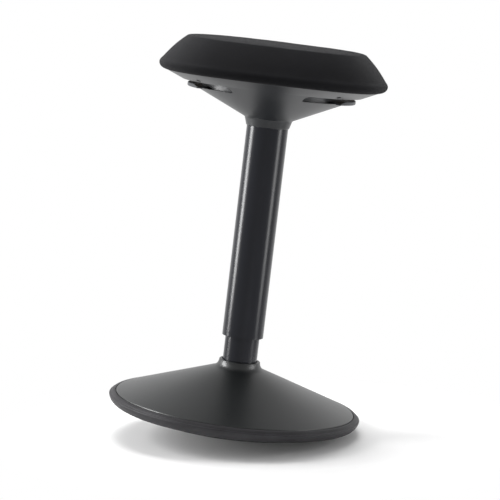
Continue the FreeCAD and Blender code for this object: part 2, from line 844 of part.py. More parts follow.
def shell_inside():
    round_end = shell_round_radius - shell_inset
    profile = [(0, shell_bottom - bite), (neck_bore, shell_bottom - bite),
               (neck_bore, cone_height(neck_bore) + shell_rise), (round_end, shell_round_height),
               (0, shell_round_height)]
    upper = loft([round_section(round_end, shell_round_height),
                  outline(seat_half_width - shell_inset + bite / shell_tan, pad_bottom + bite)])
    return fuse([turned(profile), upper])


def slot(angle):
    """Cuts one finger slot with round ends, centred on the given direction."""
    half_height = 0.5 * slot_height
    inner, outer = ring_outer - shell_inset, shell_round_radius + shell_inset
    sweep = slot_half_angle - math.degrees(half_height / (0.5 * (inner + outer)))
    tools = [turned([(inner, slot_bottom), (outer, slot_bottom), (outer, slot_top), (inner, slot_top)],
                    2 * sweep, angle - sweep)]
    for end in (angle - sweep, angle + sweep):
        way = vec(math.cos(math.radians(end)), math.sin(math.radians(end)), 0)
        start = vec(inner * way.x, inner * way.y, slot_bottom + half_height)
        tools.append(Part.makeCylinder(half_height, outer - inner, start, way))
    return fuse(tools)


def seat_shell():
    outside = shell_outside()
    bosses = discs(shell_screw_points, shell_boss_radius, shell_round_height - shell_boss_depth, pad_bottom)
    wall = fuse([outside.cut(shell_inside())] + [boss.common(outside) for boss in bosses])
    holes = [slot(0), slot(180)]
    holes += discs(shell_screw_points, shell_screw + screw_play, shell_bottom, pad_bottom + bite)
    holes += discs(shell_screw_points, shell_screw_head + seating, shell_bottom, shell_screw_seat)
    return cut_all(wall, holes)


def shell_screws():
    return fasteners(shell_screw_points, shell_screw_seat, shell_screw_head, shell_screw_head_height,
                     shell_screw, board_top - screw_tip - shell_screw_seat, 1)


def seat_board():
    board = Part.Face(outline(seat_half_width - board_inset, pad_bottom)).extrude(vec(0, 0, board_thickness))
    holes = discs(shell_screw_points, shell_screw + screw_play, pad_bottom - bite,
                  board_top - 0.5 * screw_tip)
    holes += discs(carrier_bolt_points, tee_barrel + screw_play, pad_bottom - bite, board_top + bite)
    holes += discs(carrier_bolt_points, tee_flange + screw_play,
                   board_top - tee_flange_thickness - screw_play, board_top + bite)
    return cut_all(board, holes)


def pad_sections():
    """Half width and rise of the pad's sections, from the lower edge up."""
    steps = []
    for angle in (0, 30, 60, 90):
        turn = math.radians(angle)
        steps.append((seat_half_width + pad_overhang * math.sin(turn), pad_widest_rise * (1 - math.cos(turn))))
    shoulder = pad_widest_rise + pad_shoulder_up
    for share in (0.5, 1.0):
        steps.append((pad_widest_half - pad_shoulder_in * share ** 2, pad_widest_rise + pad_shoulder_up * share))
    lean = (pad_widest_half - pad_shoulder_in - pad_top_half) / (pad_height - shoulder)
    side_rise = pad_height - pad_edge_rounding - shoulder
    for share in (0.33, 0.67, 1.0):
        half = pad_widest_half - pad_shoulder_in - lean * side_rise * share
        steps.append((half + pad_swell * math.sin(math.pi * share), shoulder + side_rise * share))
    steps.append((pad_top_half - pad_edge_in, pad_height))
    above = 2 * pad_crown
    steps.append((pad_top_half - pad_edge_in - above, pad_height + above))
    return steps


def pad_form(inset=0.0):
    """The pad's outside with its crown, or the same form drawn in by inset and open at the bottom."""
    sections = [outline(half - inset, pad_bottom + rise) for half, rise in pad_sections()]
    if inset:
        sections.insert(0, outline(seat_half_width - inset, pad_bottom - bite))
    crown_radius = pad_top_half ** 2 / (2 * pad_crown)
    top = pad_bottom + pad_height + pad_crown - inset
    crown = Part.makeSphere(crown_radius, vec(0, 0, top - crown_radius))
    reach = 2 * pad_widest_half
    slab = block(-reach, reach, -reach, reach, pad_bottom - 2 * bite, top + bite)
    return loft(sections).common(crown.common(slab))


def seat_foam():
    reach = 2 * pad_widest_half
    below = block(-reach, reach, -reach, reach, pad_bottom - 2 * bite, board_top)
    return pad_form(fabric_thickness + seating).cut(below)


def seat_cover():
    return pad_form().cut(pad_form(fabric_thickness))


nodes = [
    dome_tread, dome_pan, ballast_ring, ballast_screws, rim_bumper, base_cover, cover_screws,
    column_socket, socket_bolts, column_tube, column_floor, guide_sleeve, bearing_lower_washer,
    bearing_balls, bearing_cage, bearing_upper_washer, piston_rod, retaining_clip, clip_washer,
    rubber_bumper, piston, piston_seal, piston_nut, gas_cylinder, rod_guide, valve_body, release_pin,
    pin_cap, cover_tube, lower_guide_bush, upper_spacer, seat_carrier, guide_screws, return_springs,
    carrier_bolts, tee_nuts, rocker_right, rocker_left, rocker_pins, release_ring, seat_shell,
    shell_screws, seat_board, seat_foam, seat_cover,
]

os.makedirs("parts", exist_ok=True)
for make in nodes:
    name = make.__name__
    shape = make()
    box = shape.BoundBox
    print("%-22s solids %2d valid %s volume %9.0f  z %7.2f to %7.2f  x %7.2f to %7.2f" % (
        name, len(shape.Solids), shape.isValid(), shape.Volume, box.ZMin, box.ZMax, box.XMin, box.XMax))
    shape.exportStep("parts/" + name + ".step")
print("pivot z %.4f  plate bottom %.4f  pad bottom %.4f  ring outer %.3f  outer nose x %.3f  slot %.3f to %.3f" % (
    pivot_z, plate_bottom, pad_bottom, ring_outer, outer_nose_x, slot_bottom, slot_top))
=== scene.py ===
import math

import bmesh
import bpy
from mathutils import Matrix, Vector, noise


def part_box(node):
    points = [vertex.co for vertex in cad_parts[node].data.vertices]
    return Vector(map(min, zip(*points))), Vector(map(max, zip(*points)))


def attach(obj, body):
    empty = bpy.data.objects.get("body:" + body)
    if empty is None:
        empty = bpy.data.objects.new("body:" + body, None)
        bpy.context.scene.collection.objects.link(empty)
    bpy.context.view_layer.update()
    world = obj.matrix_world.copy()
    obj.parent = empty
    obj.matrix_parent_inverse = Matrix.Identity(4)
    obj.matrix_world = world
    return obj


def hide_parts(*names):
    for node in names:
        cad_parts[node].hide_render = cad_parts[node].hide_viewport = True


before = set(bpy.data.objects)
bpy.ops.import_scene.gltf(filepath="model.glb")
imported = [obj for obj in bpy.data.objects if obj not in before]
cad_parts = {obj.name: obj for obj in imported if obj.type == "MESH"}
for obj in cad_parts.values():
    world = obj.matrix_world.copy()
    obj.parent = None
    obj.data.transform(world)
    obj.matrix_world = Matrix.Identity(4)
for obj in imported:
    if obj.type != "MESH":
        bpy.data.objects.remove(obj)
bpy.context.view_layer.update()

bl_info = {
    "name": "Wobble Stool",
    "version": (1, 0, 0),
    "blender": (4, 5, 0),
    "location": "3D View > Sidebar > Stool",
    "description": "Dresses a height-adjustable wobble stool and sets it in a plain studio",
    "category": "Object",
}

COVER_LOW, COVER_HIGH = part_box("seat_cover")
BOARD_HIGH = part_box("seat_board")[1]

# Rows and steps of the padded seat's mesh; angles in degrees, shares from 0 to 1
SIDE_STEPS = 22
CORNER_STEPS = 20
EDGE_ANGLES = (0, 18, 36, 54, 72, 90)
SHOULDER_SHARES = (0.25, 0.5, 0.75, 1.0)
SLOPE_STEPS = 12
TOP_SHARES = (0.93, 0.85, 0.75, 0.64, 0.52, 0.4, 0.28, 0.16, 0.06)

# Rows of the seam: inward in seam widths, upward in seam widths, upward in seam depths
SEAM_ROWS = ((-0.7, -1.2, 0.0), (0.2, -0.3, 0.0), (0.9, 0.0, -1.0), (1.5, 0.0, -0.2), (2.6, 0.0, 0.3))

# More than the mesh has vertices
LIST_BASE = 100000

# The pad's underside, in metres
UNDER_CLEARANCE = 0.0006
UNDER_TAPER = 0.001
EDGE_LIP = 0.0005

# Unevenness of the foam: lumps per metre, and the finer lumps' scale and share
LUMP_SCALE = 16.0
FINE_LUMP_SCALE = 3.1
FINE_LUMP_SHARE = 0.5

# Length of the sloping side over its height, for the weave
SLOPE_STRETCH = 1.25

# Settling of the cloth: solver, and the held bands in metres, seam widths and seam depths
CLOTH_QUALITY = 5
CLOTH_MASS = 0.3
CLOTH_PRESSURE = 4
CLOTH_FRAMES = 20
HELD_EDGE = 0.001
HELD_BELOW_SEAM = 1.5
HELD_ABOVE_SEAM = 0.4

# How the marks on bare metal are stretched: along the part, loosely along it, and round it
ALONG = (1.0, 1.0, 0.1)
LOOSELY_ALONG = (1.0, 1.0, 0.2)
ROUND = (0.1, 0.1, 1.0)

# The floor and the backdrop
FLOOR_SEGMENTS = 96
FLOOR_WHITE = (0.88, 0.88, 0.88, 1.0)
FADE_START = 0.55
BACKDROP_DEPTH = (0.25, 0.75)
BACKDROP_HEIGHT = (0.75, 0.45)


class Wire:
    """A shader socket that takes part in arithmetic."""

    def __init__(self, graph, socket):
        self.graph = graph
        self.socket = socket

    def result(self, operation, *values):
        return self.graph.add("ShaderNodeMath", {"operation": operation}, values)

    def __add__(self, other):
        return self.result("ADD", self, other)

    def __radd__(self, other):
        return self.result("ADD", other, self)

    def __sub__(self, other):
        return self.result("SUBTRACT", self, other)

    def __rsub__(self, other):
        return self.result("SUBTRACT", other, self)

    def __mul__(self, other):
        return self.result("MULTIPLY", self, other)

    def __rmul__(self, other):
        return self.result("MULTIPLY", other, self)

    def larger(self, other):
        return self.result("MAXIMUM", self, other)

    def sine(self):
        return self.result("SINE", self)

    def absolute(self):
        return self.result("ABSOLUTE", self)

    def clamped(self, low, high):
        """Runs from 0 at low to 1 at high, and no further."""
        values = {"Value": self, "From Min": low, "From Max": high}
        return self.graph.add("ShaderNodeMapRange", {"clamp": True}, values)


class Graph:
    """A shader node tree under construction."""

    def __init__(self, tree):
        self.tree = tree

    def add(self, kind, settings, values, output=0):
        """Adds a node. Its settings come first, then its sockets by name, number or order."""
        node = self.tree.nodes.new(kind)
        for key, value in settings.items():
            setattr(node, key, value)
        pairs = values.items() if isinstance(values, dict) else enumerate(values)
        for socket, value in pairs:
            if isinstance(value, Wire):
                self.tree.links.new(value.socket, node.inputs[socket])
            else:
                node.inputs[socket].default_value = value
        return Wire(self, node.outputs[output])


class Finish(Graph):
    """A material under construction, with its Principled shader."""

    def __init__(self, name, **constants):
        self.material = bpy.data.materials.new(name)
        self.material.use_nodes = True
        super().__init__(self.material.node_tree)
        self.shader = self.tree.nodes["Principled BSDF"]
        for socket, value in constants.items():
            self.shader.inputs[socket.replace("_", " ")].default_value = value
        self.places = self.add("ShaderNodeTexCoord", {}, {}, "Object")

    def noise(self, scale, detail, stretch=None):
        """Noise in the piece's own place; scale is in lumps per metre."""
        where = self.places
        if stretch:
            where = self.add("ShaderNodeMapping", {}, {"Vector": where, "Scale": stretch})
        return self.add("ShaderNodeTexNoise", {}, {"Vector": where, "Scale": scale, "Detail": detail})

    def blend(self, amount, first, second):
        """Mixes two colours, which are sockets 6 and 7 of the node and give its output 2."""
        return self.add("ShaderNodeMix", {"data_type": "RGBA"}, {0: amount, 6: first, 7: second}, 2)

    def set(self, socket, wire):
        self.tree.links.new(wire.socket, self.shader.inputs[socket])

    def mottle(self, pattern, span, colour, factors):
        """Base colour between two shades of a colour, as the pattern runs through the span."""
        dark, light = (shade(colour, factor) for factor in factors)
        self.set("Base Color", self.blend(pattern.clamped(*span), dark, light))

    def bump(self, height, depth):
        values = {"Strength": 1.0, "Distance": depth, "Height": height}
        self.set("Normal", self.add("ShaderNodeBump", {}, values))


def shade(colour, factor):
    return tuple(channel * factor for channel in colour[:3]) + (1.0,)


def moulded_plastic(name, colour, roughness, depth, specular=0.35):
    """Near-black moulding with a fine spark-eroded grain and faint rubbed patches."""
    finish = Finish(name, Specular_IOR_Level=specular)
    grains = finish.noise(scale=2600.0, detail=4.0)
    patches = finish.noise(scale=14.0, detail=5.0)
    finish.mottle(patches, (0.3, 0.75), colour, (0.85, 1.25))
    finish.set("Roughness", roughness - 0.03 + 0.06 * patches + 0.05 * grains)
    finish.bump(grains, depth)
    return finish.material


def powder_coat(name, colour, roughness):
    """Satin black powder coat on a steel tube, with its slight orange peel."""
    finish = Finish(name, Specular_IOR_Level=0.4)
    peel = finish.noise(scale=750.0, detail=2.0)
    speckle = finish.noise(scale=5200.0, detail=2.0)
    rubs = finish.noise(scale=30.0, detail=4.0, stretch=(1.0, 1.0, 0.15))
    finish.mottle(rubs, (0.35, 0.8), colour, (0.9, 1.2))
    finish.set("Roughness", roughness + 0.05 * rubs + 0.03 * speckle)
    finish.bump(peel * 0.8 + speckle * 0.2, depth=0.000022)
    return finish.material


def rubber(name, colour, roughness):
    """Moulded rubber with a dull bloom."""
    finish = Finish(name, Specular_IOR_Level=0.3)
    grains = finish.noise(scale=3400.0, detail=3.0)
    bloom = finish.noise(scale=22.0, detail=6.0)
    finish.mottle(bloom, (0.35, 0.7), colour, (0.85, 1.3))
    finish.set("Roughness", roughness - 0.04 + 0.1 * bloom)
    finish.bump(grains, depth=0.00004)
    return finish.material


def metal(name, colour, roughness, brush=None, metallic=1.0, depth=0.00002):
    """Bare metal; brush stretches the marks of grinding, turning or casting."""
    finish = Finish(name, Metallic=metallic)
    marks = finish.noise(scale=900.0, detail=4.0, stretch=brush)
    stains = finish.noise(scale=60.0, detail=4.0)
    finish.mottle(stains, (0.3, 0.8), colour, (0.85, 1.05))
    finish.set("Roughness", roughness + 0.12 * marks + 0.08 * stains)
    finish.bump(marks, depth)
    return finish.material


def plywood(name, colour, ply):
    """Birch plywood: pale faces with a long grain, and thin dark glue lines at the edge."""
    finish = Finish(name, Roughness=0.65)
    height = finish.add("ShaderNodeSeparateXYZ", {}, [finish.places], "Z")
    plies = (height * (math.pi / ply)).sine().absolute()
    grain = finish.noise(scale=160.0, detail=6.0, stretch=(0.12, 1.0, 1.0))
    tone = finish.blend(grain.clamped(0.3, 0.7), shade(colour, 0.75), shade(colour, 1.1))
    glue = 1 - plies.clamped(0.0, 0.25)
    finish.set("Base Color", finish.blend(glue, tone, shade(colour, 0.35)))
    finish.bump(grain, depth=0.0001)
    return finish.material


def seat_fabric(name, colour, pitch):
    """Fine close weave, matt black, with a faint lighter nap; it follows the cloth's own UV map."""
    finish = Finish(name, Roughness=0.92, Specular_IOR_Level=0.12, Sheen_Weight=0.05, Sheen_Roughness=0.45)
    cloth = finish.add("ShaderNodeUVMap", {"uv_map": "cloth"}, {})
    across = finish.add("ShaderNodeSeparateXYZ", {}, [cloth], "X")
    along = finish.add("ShaderNodeSeparateXYZ", {}, [cloth], "Y")
    fuzz = finish.noise(scale=2400.0, detail=4.0)
    warp = (across * (math.pi / pitch) + fuzz * 0.9).sine().absolute()
    weft = (along * (math.pi / pitch) + fuzz * 0.9).sine().absolute()
    thread = warp * weft
    nap = finish.noise(scale=9.0, detail=5.0)
    tone = finish.blend(thread.clamped(0.1, 0.8), shade(colour, 0.55), shade(colour, 1.35))
    finish.set("Base Color", finish.blend(nap.clamped(0.45, 0.8) * 0.25, tone, shade(colour, 1.8)))
    finish.bump(thread * 0.75 + fuzz * 0.25, depth=0.00018)
    return finish.material


def dress(material, *nodes):
    """Gives CAD nodes a finish through their objects' own slots."""
    for node in nodes:
        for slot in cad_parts[node].material_slots:
            slot.link = "OBJECT"
            slot.material = material


def length(name, description, default):
    return bpy.props.FloatProperty(name=name, description=description, default=default,
                                   subtype="DISTANCE", unit="LENGTH", precision=4)


def angle(name, description, default):
    return bpy.props.FloatProperty(name=name, description=description, default=default,
                                   subtype="ANGLE", unit="ROTATION")


def tint(name, description, default):
    return bpy.props.FloatVectorProperty(name=name, description=description, default=default,
                                         subtype="COLOR", size=3, min=0.0, max=1.0)


def fraction(name, description, default):
    return bpy.props.FloatProperty(name=name, description=description, default=default,
                                   subtype="FACTOR", min=0.0, max=1.0)


def amount(name, description, default):
    return bpy.props.FloatProperty(name=name, description=description, default=default, min=0.0)


class STOOL_PG_pad(bpy.types.PropertyGroup):
    """Sizes of the padded seat"""
    half_width: length("Half width", "From the column's axis to the pad's lower edge", 0.155)
    corner_offset: length("Corner offset", "Centres of the outline's corner arcs", 0.050)
    side_bulge: length("Side bulge", "How far each side bows outward", 0.008)
    widest_rise: length("Widest rise", "Height of the widest place above the lower edge", 0.0085)
    shoulder_in: length("Shoulder inset", "Upper end of the rounded lower edge, inward", 0.0042)
    shoulder_up: length("Shoulder rise", "Upper end of the rounded lower edge, upward", 0.007)
    bevel: length("Bevel", "How far the sloping sides draw in", 0.0367)
    height: length("Height", "From the lower edge to the crease", 0.051)
    swell: length("Swell", "How far the sloping sides bow outward", 0.0022)
    seam_width: length("Seam width", "Width of the sewn seam along the crease", 0.0016)
    seam_depth: length("Seam depth", "Depth of the sewn seam", 0.0007)
    draw_in: length("Draw-in", "Widest place, inward of the plain form", 0.0008)
    sink: length("Sink", "Top of the crown, below the plain form", 0.0018)
    swelling: length("Swelling", "Most that the cloth moves when it settles", 0.0012)
    softness: length("Softness", "Height of the slight unevenness of foam under cloth", 0.00035)
    weave: length("Weave", "Distance from thread to thread", 0.0009)
    fabric: tint("Fabric", "Colour of the cloth", (0.0125, 0.0125, 0.014))


class STOOL_PG_finish(bpy.types.PropertyGroup):
    """Colours of the moulded and painted pieces"""
    shell: tint("Shell", "Seat shell", (0.016, 0.018, 0.021))
    cover: tint("Base cover", "Sloping cover of the base", (0.005, 0.0065, 0.007))
    rim: tint("Rim", "Rubber rim", (0.030, 0.029, 0.032))
    tube: tint("Tubes", "Powder-coated tubes", (0.016, 0.017, 0.022))
    ring: tint("Release ring", "Ring and finger paddles", (0.030, 0.033, 0.040))
    shell_roughness: fraction("Shell roughness", "Of the seat shell and base cover", 0.36)
    tube_roughness: fraction("Tube roughness", "Of the powder-coated tubes", 0.20)


class STOOL_PG_stage(bpy.types.PropertyGroup):
    """Camera, floor and lights"""
    distance: length("Distance", "Camera to the column's axis, level", 2.94695)
    height: length("Height", "Camera above the floor under the foot", 0.6561)
    bearing: angle("Bearing", "Camera's place round the column", math.radians(2.9))
    yaw: angle("Yaw", "Aim to the side", -0.0014)
    pitch: angle("Pitch", "Aim downward", 0.1311)
    lean: angle("Lean", "How far the stool leans on the floor", 0.1186)
    lens: amount("Lens", "Focal length in millimetres", 147.6)
    dome_radius: length("Dome radius", "Rolling surface under the base", 0.560)
    foot_radius: length("Foot radius", "Flat in the middle of the dome", 0.036)
    floor_radius: length("Floor radius", "Where the floor has faded into the background", 0.42)
    floor_glow: fraction("Floor glow", "Share of the floor's white that no shadow takes away", 0.03)
    daylight: fraction("Daylight", "Strength of the even light round the object", 0.34)
    left_strip: amount("Left strip", "Power of the lamp at the left, in watts", 60.0)
    right_strip: amount("Right strip", "Power of the lamp at the right, in watts", 18.0)
    front_fill: amount("Front fill", "Power of the low lamp in front, in watts", 11.0)
    overhead: amount("Overhead", "Power of the lamp above, in watts", 46.0)


def outline(pad, half, share):
    """Points of a rounded square of eight tangent arcs, anticlockwise from the +X side.

    half is its half width, and share its size against the pad's own outline.
    """
    corner = pad.corner_offset * share
    full = 1 + pad.side_bulge / pad.corner_offset
    back = (2 - full ** 2) / (2 * (full - 1))
    side_angle = math.atan(1 / (1 + back))
    side_back = corner * back
    side_reach = half + side_back
    corner_away = corner * math.sqrt(2)
    corner_reach = half - corner - pad.side_bulge * share
    corner_sweep = math.pi / 2 - 2 * side_angle
    points = []
    for quarter in range(4):
        turn = math.pi / 2 * quarter
        for step in range(SIDE_STEPS):
            bearing = turn + side_angle * (2 * step / SIDE_STEPS - 1)
            points.append((side_reach * math.cos(bearing) - side_back * math.cos(turn),
                           side_reach * math.sin(bearing) - side_back * math.sin(turn)))
        middle = turn + math.pi / 4
        for step in range(CORNER_STEPS):
            bearing = turn + side_angle + corner_sweep * step / CORNER_STEPS
            points.append((corner_away * math.cos(middle) + corner_reach * math.cos(bearing),
                           corner_away * math.sin(middle) + corner_reach * math.sin(bearing)))
    return points


def under_profile(pad):
    """Half width and rise of the hidden underside, from beside the board out to the lower edge."""
    under = 0.5 * (pad.half_width + BOARD_HIGH.x)
    return [(under - UNDER_TAPER, BOARD_HIGH.z - COVER_LOW.z + UNDER_CLEARANCE), (under, UNDER_CLEARANCE),
            (pad.half_width - EDGE_LIP, 0.0)]


def side_profile(pad):
    """Half width and rise of the pad's side, from the lower edge up to the seam."""
    widest = COVER_HIGH.x - pad.draw_in
    rows = []
    for degrees in EDGE_ANGLES:
        turn = math.radians(degrees)
        rows.append((pad.half_width + (widest - pad.half_width) * math.sin(turn),
                     pad.widest_rise * (1 - math.cos(turn))))
    for share in SHOULDER_SHARES:
        rows.append((widest - pad.shoulder_in * share ** 2, pad.widest_rise + pad.shoulder_up * share))
    shoulder_half, shoulder_rise = rows[-1]
    crease_half = widest - pad.bevel
    for step in range(1, SLOPE_STEPS):
        share = step / SLOPE_STEPS
        half = shoulder_half + (crease_half - shoulder_half) * share
        rows.append((half + pad.swell * math.sin(math.pi * share),
                     shoulder_rise + (pad.height - shoulder_rise) * share))
    return rows


def seam_profile(pad):
    """The sewn seam along the crease: the side rolls over, dips and comes up as the top panel."""
    crease = COVER_HIGH.x - pad.bevel
    return [(crease - inward * pad.seam_width, pad.height + rise * pad.seam_width + lift * pad.seam_depth)
            for inward, rise, lift in SEAM_ROWS]


def pad_rows(pad):
    """Rows of points over the whole pad, from under the board to near the middle of the top."""
    rows = [(half, rise, 1.0) for half, rise in under_profile(pad) + side_profile(pad) + seam_profile(pad)]
    seam_half, seam_rise, _ = rows[-1]
    crown = COVER_HIGH.z - pad.sink - COVER_LOW.z - seam_rise
    rows += [(seam_half * share, seam_rise + crown * (1 - share ** 2), share) for share in TOP_SHARES]
    return [[Vector((x, y, COVER_LOW.z + rise)) for x, y in outline(pad, half, share)]
            for half, rise, share in rows]


def raise_rows(mesh, rows):
    """Extrudes a loop of edges from row to row and returns the last row's vertices."""
    bmesh.ops.create_circle(mesh, segments=len(rows[0]), radius=1.0)
    loop, edges = list(mesh.verts), list(mesh.edges)
    for vertex, place in zip(loop, rows[0]):
        vertex.co = place
    for row in rows[1:]:
        grown = bmesh.ops.extrude_edge_only(mesh, edges=edges)["geom"]
        fresh = set(grown)
        edges = [item for item in grown
                 if isinstance(item, bmesh.types.BMEdge) and fresh.issuperset(item.verts)]
        loop = [next(edge.other_vert(vertex) for edge in vertex.link_edges
                     if edge.other_vert(vertex) in fresh) for vertex in loop]
        for vertex, place in zip(loop, row):
            vertex.co = place
    return loop


def list_place(part):
    """Number of an edge or face in the mesh's list, from the numbers of its vertices."""
    numbers = [vertex.index for vertex in part.verts]
    return (min(numbers) * LIST_BASE + max(numbers)) * LIST_BASE + sum(numbers)


def put_in_order(mesh):
    """Gives edges and faces one order, because extruding leaves them in a different one each time."""
    mesh.verts.index_update()
    mesh.edges.sort(key=list_place)
    mesh.faces.sort(key=list_place)


def soften(mesh, pad):
    """Gives everything above the widest place the slight unevenness of foam under cloth."""
    for vertex in mesh.verts:
        if vertex.co.z > COVER_LOW.z + pad.widest_rise:
            place = vertex.co * LUMP_SCALE
            lump = noise.noise(place) + FINE_LUMP_SHARE * noise.noise(place * FINE_LUMP_SCALE)
            vertex.co += vertex.normal * pad.softness * lump
            vertex.co.z = min(vertex.co.z, COVER_HIGH.z)


def lay_cloth(mesh, pad):
    """Lays the weave's UV map: from above on the top panel, and round the column on the sides."""
    cloth = mesh.loops.layers.uv.new("cloth")
    crease = COVER_LOW.z + pad.height - 0.5 * pad.seam_width
    for face in mesh.faces:
        face.smooth = True
        on_top = min(vertex.co.z for vertex in face.verts) > crease
        bearings = [math.atan2(corner.vert.co.y, corner.vert.co.x) for corner in face.loops]
        crosses_back = max(bearings) - min(bearings) > math.pi
        for corner, bearing in zip(face.loops, bearings):
            if crosses_back and bearing < 0:
                bearing += 2 * math.pi
            side_place = (bearing * pad.half_width, corner.vert.co.z * SLOPE_STRETCH)
            corner[cloth].uv = corner.vert.co.xy if on_top else side_place


def settle(cushion, pad):
    """Lets the cloth swell between its lower edge and its seam, and keeps the swelling small."""
    scene = bpy.context.scene
    vertices = cushion.data.vertices
    edge_top = COVER_LOW.z + HELD_EDGE
    seam_low = COVER_LOW.z + pad.height - HELD_BELOW_SEAM * pad.seam_width
    seam_high = COVER_LOW.z + pad.height + HELD_ABOVE_SEAM * pad.seam_depth
    held = [vertex.index for vertex in vertices
            if vertex.co.z < edge_top or seam_low < vertex.co.z < seam_high]
    cushion.vertex_groups.new(name="held").add(held, 1.0, "REPLACE")
    cloth = cushion.modifiers.new("Cloth", "CLOTH")
    cloth.settings.quality = CLOTH_QUALITY
    cloth.settings.mass = CLOTH_MASS
    cloth.settings.effector_weights.gravity = 0
    cloth.settings.use_pressure = True
    cloth.settings.uniform_pressure_force = CLOTH_PRESSURE
    cloth.settings.vertex_group_mass = "held"
    cloth.point_cache.frame_end = CLOTH_FRAMES
    for number in range(1, CLOTH_FRAMES + 1):
        scene.frame_set(number)
    settled = cushion.evaluated_get(bpy.context.evaluated_depsgraph_get()).data
    moves = [after.co - before.co for after, before in zip(settled.vertices, vertices)]
    cushion.modifiers.remove(cloth)
    for vertex, move in zip(vertices, moves):
        if move.length > pad.swelling:
            move *= pad.swelling / move.length
        vertex.co += move
        vertex.co.z = min(vertex.co.z, COVER_HIGH.z)
    scene.frame_set(1)


class STOOL_OT_padded_seat(bpy.types.Operator):
    """Models the padded seat: sloping sides, a sewn crease and a crowned top"""
    bl_idname = "stool.padded_seat"
    bl_label = "Padded seat"

    def execute(self, context):
        pad = context.scene.stool_pad
        mesh = bmesh.new()
        last_loop = raise_rows(mesh, pad_rows(pad))
        bmesh.ops.pointmerge(mesh, verts=last_loop, merge_co=Vector((0, 0, COVER_HIGH.z - pad.sink)))
        put_in_order(mesh)
        bmesh.ops.holes_fill(mesh, edges=[edge for edge in mesh.edges if edge.is_boundary], sides=0)
        bmesh.ops.recalc_face_normals(mesh, faces=mesh.faces)
        soften(mesh, pad)
        lay_cloth(mesh, pad)

        data = bpy.data.meshes.new("seat_cushion")
        mesh.to_mesh(data)
        mesh.free()
        cushion = bpy.data.objects.new("seat_cushion", data)
        context.scene.collection.objects.link(cushion)
        data.materials.append(seat_fabric("seat fabric", pad.fabric, pad.weave))
        settle(cushion, pad)
        smooth = cushion.modifiers.new("Smooth", "SUBSURF")
        smooth.levels = 1
        smooth.render_levels = 1
        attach(cushion, "seat")
        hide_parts("seat_cover", "seat_foam")
        return {"FINISHED"}


class STOOL_OT_base(bpy.types.Operator):
    """Finishes the domed base: cover, rubber rim, tread, pan and ballast"""
    bl_idname = "stool.base"
    bl_label = "Base"

    def execute(self, context):
        look = context.scene.stool_finish
        cover_plastic = moulded_plastic("base cover plastic", look.cover, look.shell_roughness,
                                        depth=0.00003, specular=1.0)
        dress(cover_plastic, "base_cover")
        dress(moulded_plastic("pan plastic", look.shell, 0.55, depth=0.00004), "dome_pan")
        dress(rubber("rim rubber", look.rim, 0.52), "rim_bumper")
        dress(rubber("tread rubber", shade(look.rim, 0.8), 0.75), "dome_tread")
        dress(metal("cast iron", (0.05, 0.05, 0.05), 0.6, metallic=0.6, depth=0.0002), "ballast_ring")
        return {"FINISHED"}


class STOOL_OT_column(bpy.types.Operator):
    """Finishes the column: tubes, socket, guides, swivel bearing and gas spring"""
    bl_idname = "stool.column"
    bl_label = "Column"

    def execute(self, context):
        look = context.scene.stool_finish
        dress(powder_coat("tube coat", look.tube, look.tube_roughness), "cover_tube", "column_tube")
        dress(powder_coat("socket coat", look.tube, 0.42), "column_socket", "column_floor")
        dress(powder_coat("gas spring paint", look.tube, 0.2), "gas_cylinder")
        dress(moulded_plastic("nylon", (0.06, 0.06, 0.065), 0.45, depth=0.00002),
              "guide_sleeve", "lower_guide_bush", "upper_spacer", "rod_guide", "bearing_cage")
        dress(metal("chromed rod", (0.62, 0.63, 0.65), 0.08, ROUND, depth=0.000004), "piston_rod")
        dress(metal("ground steel", (0.55, 0.55, 0.56), 0.22, ALONG),
              "bearing_balls", "bearing_lower_washer", "bearing_upper_washer", "clip_washer",
              "retaining_clip", "piston_nut", "release_pin")
        dress(metal("turned brass", (0.62, 0.46, 0.2), 0.28, ALONG), "piston", "valve_body")
        dress(rubber("inner rubber", (0.02, 0.02, 0.02), 0.6), "piston_seal", "rubber_bumper")
        return {"FINISHED"}


class STOOL_OT_seat_shell(bpy.types.Operator):
    """Finishes the seat's shell, board and carrier"""
    bl_idname = "stool.seat_shell"
    bl_label = "Seat shell"

    def execute(self, context):
        look = context.scene.stool_finish
        shell_plastic = moulded_plastic("shell plastic", look.shell, look.shell_roughness,
                                        depth=0.00003, specular=1.0)
        dress(shell_plastic, "seat_shell")
        dress(metal("cast aluminium", (0.5, 0.5, 0.51), 0.42, depth=0.00012), "seat_carrier")
        dress(plywood("birch plywood", (0.55, 0.4, 0.24), ply=0.0015), "seat_board")
        return {"FINISHED"}


class STOOL_OT_height_release(bpy.types.Operator):
    """Finishes the release ring with its paddles, the rockers, pin cap and springs"""
    bl_idname = "stool.height_release"
    bl_label = "Height release"

    def execute(self, context):
        look = context.scene.stool_finish
        dress(moulded_plastic("ring plastic", look.ring, 0.42, depth=0.00002, specular=0.7),
              "release_ring", "pin_cap")
        dress(moulded_plastic("rocker plastic", look.shell, 0.5, depth=0.00003),
              "rocker_right", "rocker_left")
        dress(metal("spring steel", (0.5, 0.5, 0.52), 0.2), "return_springs", "rocker_pins")
        return {"FINISHED"}


class STOOL_OT_fasteners(bpy.types.Operator):
    """Finishes the plated and blackened screws, bolts and nuts"""
    bl_idname = "stool.fasteners"
    bl_label = "Fasteners"

    def execute(self, context):
        dress(metal("zinc plate", (0.52, 0.53, 0.55), 0.3, LOOSELY_ALONG),
              "ballast_screws", "cover_screws", "socket_bolts", "guide_screws", "carrier_bolts", "tee_nuts")
        dress(metal("black oxide", (0.03, 0.03, 0.032), 0.5, LOOSELY_ALONG, metallic=0.7), "shell_screws")
        return {"FINISHED"}


